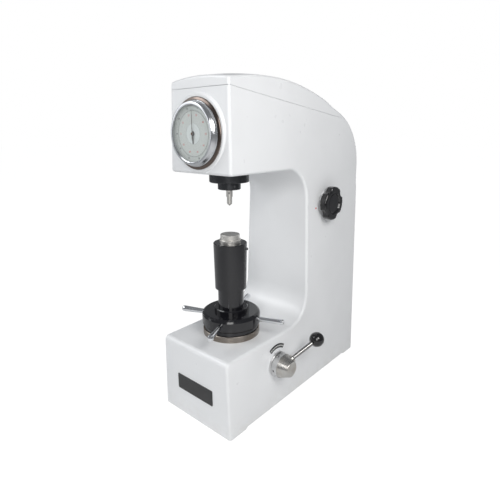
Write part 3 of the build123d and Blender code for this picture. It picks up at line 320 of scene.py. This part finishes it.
def bezel_chrome(centre):
    """Chrome whose side carries the fine straight knurl that fingers turn it by."""
    colour = (0.62, 0.63, 0.65)
    finish = Finish("bezel_chrome", colour, 0.16, 1.0)
    radius, _, across = radius_from(finish, 1, centre)
    angle = finish.number("ShaderNodeMath", {"operation": "ARCTAN2"}, {0: across[0], 1: across[1]})
    teeth = (angle * 150.0).maths("SINE") * 0.5 + 0.5
    side = radius.step(0.0497, 0.0503) * (1.0 - radius.step(0.0514, 0.0517))
    haze = finish.noise(55.0, 4.0)
    finish.set("Base Color", finish.blend(haze.step(0.3, 0.8), colour, shade(colour, 0.88)))
    finish.set("Roughness", haze * 0.08 + side * teeth * 0.08 + 0.14)
    finish.bump(teeth * side, 0.00012, 0.35)
    return finish.material


def dial_paint(colour, pale):
    """Satin silver-grey dial: a pale centre disc, a faint sunray and a fine metallic grain."""
    finish = Finish("dial_paint", colour, 0.42)
    radius, _, across = radius_from(finish, 1, DIAL_CENTRE)
    settings = bpy.context.scene.tester_dial
    grain = finish.noise(2600.0, 2.0)
    angle = finish.number("ShaderNodeMath", {"operation": "ARCTAN2"}, {0: across[0], 1: across[1]})
    ray = finish.line_noise(angle, 60.0, 3.0)
    disc = 1.0 - radius.step(settings.centre_radius - 0.0002, settings.centre_radius + 0.0002)
    tone = finish.blend(disc, colour, pale)
    tone = finish.blend(grain.step(0.4, 0.7) * 0.25, tone, shade(colour, 0.8))
    tone = finish.blend(ray * 0.12, tone, shade(pale, 1.15))
    finish.set("Base Color", tone)
    finish.set("Roughness", grain * 0.2 + 0.32)
    finish.bump(grain, 0.00001, 0.3)
    return finish.material


def ink(name, colour):
    """Printed ink with slightly uneven cover."""
    finish = Finish(name, colour, 0.45)
    cover = finish.noise(1500.0, 3.0)
    finish.set("Base Color", finish.blend(cover.step(0.4, 0.8) * 0.4, colour, shade(colour, 1.6)))
    finish.set("Roughness", cover * 0.2 + 0.35)
    return finish.material


def glass():
    """Thin watch glass: lamps and sight pass through, and the surface mirrors more at a slant."""
    finish = Finish("watch_glass", (0.9, 0.93, 0.95), 0.03)
    smear = finish.noise(35.0, 4.0)
    finish.set("Roughness", smear * 0.05 + 0.01)
    clear = finish.node("ShaderNodeBsdfTransparent", None, {"Color": (0.97, 0.98, 0.98, 1.0)}).outputs[0]
    facing = finish.number("ShaderNodeLayerWeight", None, {"Blend": 0.5}, output="Facing")
    slant = facing.power(5.0) * 0.9 + 0.03
    mixed = finish.node("ShaderNodeMixShader", None, {0: slant, 1: clear, 2: finish.shader.outputs[0]})
    output = finish.tree.nodes["Material Output"]
    finish.tree.links.new(mixed.outputs[0], output.inputs["Surface"])
    return finish.material


def black_plate():
    """Bare black sheet with a satin lacquer and a few light rubs."""
    colour = (0.008, 0.008, 0.009)
    finish = Finish("black_plate", colour, 0.35)
    rub = finish.noise(1.0, 3.0, where=finish.stretched(120.0, 120.0, 900.0)).step(0.55, 0.8)
    finish.set("Base Color", finish.blend(rub * 0.3, colour, (0.035, 0.035, 0.036)))
    finish.set("Roughness", finish.noise(220.0, 3.0) * 0.15 + rub * 0.15 + 0.25)
    finish.bump(finish.noise(700.0, 2.0), 0.00002, 0.3)
    return finish.material


def grey_iron():
    """Rough cast iron under thin grey primer, with a sandy skin and worn oily patches."""
    colour = (0.14, 0.145, 0.15)
    finish = Finish("grey_iron", colour, 0.6, 0.25)
    sand = finish.noise(650.0, 5.0)
    oil = finish.noise(18.0, 4.0).step(0.45, 0.7)
    tone = finish.blend(sand.step(0.3, 0.75), colour, shade(colour, 1.5))
    finish.set("Base Color", finish.blend(oil * 0.6, tone, (0.06, 0.055, 0.045)))
    finish.set("Roughness", sand * 0.25 + 0.5 - oil * 0.2)
    finish.bump(sand, 0.00025, 0.6)
    return finish.material


def spot_paint():
    """Glossy spots of paint: the forward one pale, the lower one red."""
    finish = Finish("spot_paint", (0.85, 0.84, 0.82), 0.25)
    _, _, z = finish.axes()
    upper = z.over(KNOB_CENTRE.z)
    finish.set("Base Color", finish.blend(upper, (0.62, 0.045, 0.03), (0.86, 0.85, 0.83)))
    finish.set("Roughness", finish.noise(800.0, 2.0) * 0.15 + 0.18)
    return finish.material


class TESTER_OT_finishes(bpy.types.Operator):
    """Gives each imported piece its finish"""
    bl_idname = "tester.finishes"
    bl_label = "Apply finishes"

    def execute(self, context):
        colours = context.scene.tester_colours
        stack = Vector((0.0, 0.0, 0.0))
        lever = LEVER_CENTRE
        knob = KNOB_CENTRE
        bright = (0.80, 0.78, 0.74)
        dark = (0.085, 0.087, 0.092)
        plan = {
            enamel(colours.enamel): ["body_casting", "top_cover", "rear_cover"],
            black_enamel(colours.black): ["handwheel", "dust_sleeve", "lifting_nut", "nut_collar"],
            black_resin(): ["lever_ball", "selector_knob", "selector_knob_cap"],
            chrome(): ["handwheel_spokes"],
            # painted reflection: the chrome lever rod gets a dark grey colour that dims the side lamp it
            # mirrors and stands in for its dark reflections
            turned_metal("rod_painted_dark_reflection", (0.34, 0.335, 0.33), 0, lever, 0.24, 0.00001): ["lever_rod"],
            bezel_chrome(DIAL_CENTRE): ["dial_bezel"],
            # painted reflection: the dial case's chrome flange gets a dark brown colour that stands in for
            # the dark surroundings it mirrors
            turned_metal("flange_painted_dark_reflection", (0.15, 0.12, 0.105), 1, DIAL_CENTRE, 0.22, 0.00001): ["dial_case"],
            dial_paint(colours.dial, colours.dial_centre): ["dial_plate"],
            ink("pointer_grey", (0.15, 0.135, 0.125)): ["long_pointer"],
            ink("pointer_brown", (0.035, 0.022, 0.018)): ["short_pointer"],
            glass(): ["dial_glass"],
            black_plate(): ["name_plate", "lever_index_plate"],
            spot_paint(): ["load_index_marks"],
            turned_metal("dark_steel", dark, 2, stack, 0.30): ["spindle_housing", "spindle_guide_ring"],
            turned_metal("seat_steel", (0.30, 0.27, 0.24), 2, stack, 0.28, tint=(0.20, 0.14, 0.09)):
                ["seat_ring"],
            turned_metal("bright_steel", bright, 2, stack, 0.36):
                ["anvil", "spindle", "indenter", "elevating_screw", "thrust_race_lower", "thrust_race_upper",
                 "thrust_balls", "guide_key", "housing_nut", "hanger_rod", "dashpot_piston", "beam_knives"],
            turned_metal("pale_steel", (0.70, 0.70, 0.70), 0, lever, 0.36): ["lever_collar", "lever_flange"],
            turned_metal("lever_steel", (0.56, 0.55, 0.53), 0, lever, 0.26, tint=(0.40, 0.34, 0.26)):
                ["lever_head", "lever_shaft", "load_cam", "rocker_pin"],
            turned_metal("knob_steel", bright, 0, knob, 0.25): ["selector_shaft", "selector_cams"],
            turned_metal("screw_steel", (0.20, 0.20, 0.21), 0, lever, 0.30):
                ["rear_cover_screws", "sleeve_screw", "guide_ring_screw", "indenter_screw",
                 "lever_collar_screws"],
            turned_metal("bronze", (0.50, 0.31, 0.13), 2, stack, 0.30): ["guide_bush", "lever_bush"],
            grey_iron(): ["lift_rocker", "main_beam", "fulcrum_posts", "weight_tray", "base_weight",
                          "middle_weight", "upper_weight", "dashpot_cylinder", "dashpot_cap"],
        }
        dressed = set()
        for material, nodes in plan.items():
            for node in nodes:
                mesh = NODES[node].data
                mesh.materials.clear()
                mesh.materials.append(material)
                dressed.add(node)
        left = set(NODES) - dressed
        if left:
            raise RuntimeError(f"no finish for {sorted(left)}")
        return {"FINISHED"}


# ------------------------------------------------------------------ modelling helpers
def nothing_selected():
    if bpy.context.object and bpy.context.object.mode != "OBJECT":
        bpy.ops.object.mode_set(mode="OBJECT")
    bpy.ops.object.select_all(action="DESELECT")


def pick(*objects):
    nothing_selected()
    for each in objects:
        each.select_set(True)
    bpy.context.view_layer.objects.active = objects[0]


def settle(piece):
    """Applies the piece's place, turn and size to its mesh."""
    pick(piece)
    bpy.ops.object.transform_apply(location=True, rotation=True, scale=True)


def joined(name, pieces):
    pick(*pieces)
    if len(pieces) > 1:
        bpy.ops.object.join()
    whole = bpy.context.object
    whole.name = name
    settle(whole)
    return whole


def dress(piece, material, body):
    piece.data.materials.clear()
    piece.data.materials.append(material)
    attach(piece, body)
    return piece


def thicken(piece, thickness):
    """Gives a flat sheet a thickness out of its own plane."""
    pick(piece)
    solid = piece.modifiers.new("thickness", "SOLIDIFY")
    solid.thickness = 2.0 * thickness
    solid.offset = 0.0
    bpy.ops.object.modifier_apply(modifier="thickness")


def flat_ring(inner, outer, vertices=96):
    """A flat ring in the XY plane, extruded from a circle's edge."""
    nothing_selected()
    bpy.ops.mesh.primitive_circle_add(vertices=vertices, radius=outer, fill_type="NOTHING")
    piece = bpy.context.object
    bpy.ops.object.mode_set(mode="EDIT")
    bpy.ops.mesh.select_all(action="SELECT")
    bpy.ops.mesh.extrude_edges_move()
    scale = inner / outer
    bpy.ops.transform.resize(value=(scale, scale, 1.0))
    bpy.ops.mesh.select_all(action="SELECT")
    bpy.ops.mesh.normals_make_consistent(inside=False)
    bpy.ops.object.mode_set(mode="OBJECT")
    return piece


def flat_bar(width, length, taper=0.85):
    """A flat tapered bar along Y, centred on the origin."""
    nothing_selected()
    bpy.ops.mesh.primitive_plane_add(size=1.0)
    piece = bpy.context.object
    piece.scale = (width, length, 1.0)
    settle(piece)
    bpy.ops.object.mode_set(mode="EDIT")
    bpy.ops.mesh.select_all(action="DESELECT")
    bpy.ops.mesh.select_mode(type="VERT")
    bpy.ops.object.mode_set(mode="OBJECT")
    for vertex in piece.data.vertices:
        vertex.select = vertex.co.y > 0
    bpy.ops.object.mode_set(mode="EDIT")
    bpy.ops.transform.resize(value=(taper, 1.0, 1.0), center_override=(0.0, length / 2, 0.0))
    bpy.ops.object.mode_set(mode="OBJECT")
    return piece


def on_dial(out):
    """The dial's plane: local X to the right, Y up and Z towards the viewer, out from the dial's face."""
    turn = Matrix.Rotation(radians(90), 4, "X")
    return Matrix.Translation((DIAL_CENTRE.x, DIAL_FACE - out, DIAL_CENTRE.z)) @ turn


def around(angle, radius):
    """A place on a circle, clockwise from the top, that faces outwards."""
    turn = Matrix.Rotation(radians(-angle), 4, "Z")
    return turn @ Matrix.Translation((0.0, radius, 0.0))


# ------------------------------------------------------------------ dial print
class TESTER_OT_dial_rings(bpy.types.Operator):
    """Prints the thin rings and the ticks of the dial"""
    bl_idname = "tester.dial_rings"
    bl_label = "Print dial rings and ticks"

    def execute(self, context):
        settings = context.scene.tester_dial
        grey = ink("grey_ink", (0.20, 0.205, 0.20))
        lift = settings.print_thickness
        rings = []
        for radius, width in ((settings.ring_radius, 0.0006), (settings.centre_radius, 0.0002),
                              (0.0445, 0.0003)):
            ring = flat_ring(radius - width / 2, radius + width / 2)
            ring.matrix_world = on_dial(0.0)
            rings.append(ring)
        whole = joined("dial_ring_lines", rings)
        thicken(whole, lift)
        dress(whole, grey, "bezel")
        ticks = []
        for step in range(TICK_COUNT):
            length = 0.0022 if step % 5 == 0 else 0.0013
            middle_radius = settings.ring_radius + 0.0004 + length / 2
            if step == 0:
                model = flat_bar(0.00022, 0.0013)
                long_model = flat_bar(0.00028, 0.0022)
            kind = long_model if step % 5 == 0 else model
            copy = kind.copy()
            copy.data = kind.data.copy()
            context.collection.objects.link(copy)
            copy.matrix_world = on_dial(0.0) @ around(360.0 / TICK_COUNT * step, middle_radius)
            ticks.append(copy)
        bpy.data.objects.remove(model)
        bpy.data.objects.remove(long_model)
        whole = joined("dial_ticks", ticks)
        thicken(whole, lift)
        dress(whole, grey, "bezel")
        return {"FINISHED"}


def number(text, height, place):
    """One printed number as a flat mesh."""
    nothing_selected()
    bpy.ops.object.text_add()
    piece = bpy.context.object
    piece.data.body = text
    piece.data.size = height
    piece.data.align_x = "CENTER"
    piece.data.align_y = "CENTER"
    piece.data.resolution_u = 3
    pick(piece)
    bpy.ops.object.convert(target="MESH")
    piece = bpy.context.object
    piece.matrix_world = place
    return piece


class TESTER_OT_dial_numbers(bpy.types.Operator):
    """Prints the two rows of plain numbers, black outside and red inside"""
    bl_idname = "tester.dial_numbers"
    bl_label = "Print dial numbers"

    def execute(self, context):
        settings = context.scene.tester_dial
        rows = (
            ("dial_numbers_black", settings.outer_numbers, 0, ink("black_ink", (0.03, 0.03, 0.032)),
             "pointer_paint", settings.number_height),
            ("dial_numbers_red", settings.inner_numbers, 30, ink("red_ink", (0.62, 0.10, 0.08)),
             "mark_paint", settings.number_height * 1.05),
        )
        for name, radius, first, material, slot, height in rows:
            made = []
            for step in range(NUMBER_COUNT):
                angle = 18 + 36 * step
                text = str((first + 10 * step) % 100)
                place = on_dial(0.0) @ around(angle, radius) @ Matrix.Rotation(radians(angle), 4, "Z")
                made.append(number(text, height, place))
            whole = joined(name, made)
            thicken(whole, settings.print_thickness)
            dress(whole, material, "bezel")
        return {"FINISHED"}


class TESTER_OT_pointer_cap(bpy.types.Operator):
    """Adds the small domed cap over the pointers' arbor"""
    bl_idname = "tester.pointer_cap"
    bl_label = "Add pointer cap"

    def execute(self, context):
        nothing_selected()
        bpy.ops.mesh.primitive_cylinder_add(vertices=32, radius=0.0018, depth=0.0006)
        cap = context.object
        bpy.ops.object.mode_set(mode="EDIT")
        bpy.ops.mesh.select_all(action="DESELECT")
        bpy.ops.object.mode_set(mode="OBJECT")
        for face in cap.data.polygons:
            face.select = face.normal.z > 0.9
        bpy.ops.object.mode_set(mode="EDIT")
        bpy.ops.mesh.select_mode(type="FACE")
        bpy.ops.mesh.inset(thickness=0.0006)
        bpy.ops.transform.translate(value=(0.0, 0.0, 0.00025))
        bpy.ops.mesh.inset(thickness=0.0006)
        bpy.ops.transform.translate(value=(0.0, 0.0, 0.00008))
        bpy.ops.object.mode_set(mode="OBJECT")
        bpy.ops.object.shade_smooth_by_angle(angle=radians(40))
        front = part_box("long_pointer")[0][1]
        cap.matrix_world = on_dial(DIAL_FACE - front + 0.0003)
        whole = joined("pointer_cap", [cap])
        cap_metal = turned_metal("cap_brown", (0.20, 0.12, 0.08), 1, DIAL_CENTRE, 0.3)
        dress(whole, cap_metal, "long_hand")
        return {"FINISHED"}


# ------------------------------------------------------------------ lever and plates
class TESTER_OT_index_ticks(bpy.types.Operator):
    """Prints the dashed line along the middle of the arc plate above the lever"""
    bl_idname = "tester.index_ticks"
    bl_label = "Print arc plate dashes"

    def execute(self, context):
        pale = ink("pale_ink", (0.62, 0.62, 0.60))
        slope = atan(SIDE_DRAFT)
        base_x = BENCH_HALF_WIDTH - SIDE_DRAFT * LEVER_CENTRE.z
        facing = Matrix.Rotation(radians(90), 4, "Z") @ Matrix.Rotation(radians(90), 4, "X")
        lean = Matrix.Rotation(-slope, 4, "Y")
        plane = Matrix.Translation((base_x, LEVER_CENTRE.y, LEVER_CENTRE.z)) @ lean @ facing
        ticks = []
        for step in range(DASH_COUNT):
            angle = DASH_MIDDLE + DASH_PITCH * (step - (DASH_COUNT - 1) / 2)
            tick = flat_bar(0.0040, 0.0021, taper=1.04)
            tick.matrix_world = (plane @ Matrix.Translation((0.0, 0.0, PLATE_THICKNESS))
                                 @ around(angle, DASH_RADIUS))
            ticks.append(tick)
        whole = joined("arc_plate_ticks", ticks)
        thicken(whole, 0.00012)
        dress(whole, pale, "frame")
        return {"FINISHED"}


# ------------------------------------------------------------------ stage
# name, place, size, power and colour of each lamp
LAMPS = (
    ("side_softbox", (0.9, -0.25, 0.95), (0.5, 0.5), 6.3, (1.0, 0.99, 0.98)),
    ("near_softbox", (0.9, -1.1, 0.9), (0.6, 0.8), 7.6, (1.0, 0.99, 0.98)),
    ("left_softbox", (-1.8, -1.2, 1.2), (1.4, 1.6), 10.0, (0.96, 0.98, 1.0)),
    ("high_softbox", (-1.4, -1.6, 2.2), (1.2, 1.2), 17.0, (0.97, 0.985, 1.0)),
)
FILL = 0.25
LAMP_TARGET = (0.0, 0.1, 0.3)


def floor_material():
    """Pale floor that shows white to the camera and keeps the object's shadow."""
    finish = Finish("floor_white", (0.86, 0.86, 0.86), 0.7)
    grain = finish.noise(6.0, 3.0)
    finish.set("Base Color", finish.blend(grain, (0.86, 0.86, 0.86), (0.84, 0.84, 0.84)))
    ray = finish.node("ShaderNodeLightPath")
    seen = Num(finish, ray.outputs["Is Camera Ray"])
    passed = Num(finish, ray.outputs["Is Transmission Ray"])
    share = (seen + passed).maths("MINIMUM", 1.0) * 0.8
    glow = finish.node("ShaderNodeEmission", None, {"Color": (1.0, 1.0, 1.0, 1.0), "Strength": 1.2})
    sources = {0: share, 1: finish.shader.outputs[0], 2: glow.outputs[0]}
    mixed = finish.node("ShaderNodeMixShader", None, sources)
    finish.tree.links.new(mixed.outputs[0], finish.tree.nodes["Material Output"].inputs["Surface"])
    return finish.material


def studio_world():
    """Dim neutral light everywhere, and white where the camera looks past the floor."""
    world = bpy.data.worlds.new("studio")
    bpy.context.scene.world = world
    world.use_nodes = True
    tree = world.node_tree
    tree.nodes.clear()
    ray = tree.nodes.new("ShaderNodeLightPath")
    fill = tree.nodes.new("ShaderNodeBackground")
    fill.inputs["Color"].default_value = (0.93, 0.96, 1.0, 1.0)
    fill.inputs["Strength"].default_value = FILL
    seen = tree.nodes.new("ShaderNodeBackground")
    seen.inputs["Color"].default_value = (1.0, 1.0, 1.0, 1.0)
    seen.inputs["Strength"].default_value = 1.0
    mix = tree.nodes.new("ShaderNodeMixShader")
    output = tree.nodes.new("ShaderNodeOutputWorld")
    tree.links.new(ray.outputs["Is Camera Ray"], mix.inputs[0])
    tree.links.new(fill.outputs[0], mix.inputs[1])
    tree.links.new(seen.outputs[0], mix.inputs[2])
    tree.links.new(mix.outputs[0], output.inputs["Surface"])


def lamp(name, place, target, size, power, colour=(1.0, 1.0, 1.0)):
    data = bpy.data.lights.new(name, "AREA")
    data.shape = "RECTANGLE"
    data.size, data.size_y = size
    data.energy = power
    data.color = colour
    made = bpy.data.objects.new(name, data)
    bpy.context.collection.objects.link(made)
    made.location = place
    made.rotation_euler = (Vector(target) - Vector(place)).to_track_quat("-Z", "Y").to_euler()
    return made


class TESTER_OT_stage(bpy.types.Operator):
    """Makes the floor, the lamps, the world and the camera"""
    bl_idname = "tester.stage"
    bl_label = "Build the stage"

    def execute(self, context):
        settings = context.scene.tester_stage
        nothing_selected()
        bpy.ops.mesh.primitive_plane_add(size=settings.floor_size)
        floor = context.object
        floor.name = "floor"
        floor.data.materials.append(floor_material())
        studio_world()
        for name, place, size, power, colour in LAMPS:
            lamp(name, place, LAMP_TARGET, size, power, colour)
        data = bpy.data.cameras.new("camera")
        data.lens = settings.lens
        data.sensor_width = 36.0
        data.clip_start = 0.01
        data.clip_end = 100.0
        camera = bpy.data.objects.new("camera", data)
        context.collection.objects.link(camera)
        turn = (Matrix.Rotation(settings.yaw, 4, "Z") @ Matrix.Rotation(radians(90) - settings.pitch, 4, "X")
                @ Matrix.Rotation(settings.roll, 4, "Z"))
        camera.matrix_world = Matrix.Translation(settings.eye) @ turn
        context.scene.camera = camera
        context.scene.view_settings.view_transform = "Standard"
        return {"FINISHED"}


# ------------------------------------------------------------------ panel and registration
STEPS = ("finishes", "dial_rings", "dial_numbers", "pointer_cap", "index_ticks", "stage")


class TESTER_PT_panel(bpy.types.Panel):
    """Lists the steps that dress the tester"""
    bl_idname = "TESTER_PT_panel"
    bl_label = "Hardness Tester"
    bl_space_type = "VIEW_3D"
    bl_region_type = "UI"
    bl_category = "Tester"

    def draw(self, context):
        for step in STEPS:
            self.layout.operator(f"tester.{step}")


GROUPS = {
    "tester_dial": TesterDialSettings,
    "tester_colours": TesterColourSettings,
    "tester_stage": TesterStageSettings,
}
OPERATORS = (TESTER_OT_finishes, TESTER_OT_dial_rings, TESTER_OT_dial_numbers, TESTER_OT_pointer_cap,
             TESTER_OT_index_ticks, TESTER_OT_stage)


def register():
    for name, group in GROUPS.items():
        bpy.utils.register_class(group)
        setattr(bpy.types.Scene, name, bpy.props.PointerProperty(type=group))
    for operator in OPERATORS:
        bpy.utils.register_class(operator)
    bpy.utils.register_class(TESTER_PT_panel)


def unregister():
    bpy.utils.unregister_class(TESTER_PT_panel)
    for operator in reversed(OPERATORS):
        bpy.utils.unregister_class(operator)
    for name, group in GROUPS.items():
        delattr(bpy.types.Scene, name)
        bpy.utils.unregister_class(group)


def main():
    register()
    for step in STEPS:
        getattr(bpy.ops.tester, step)()


if __name__ == "__main__":
    main()
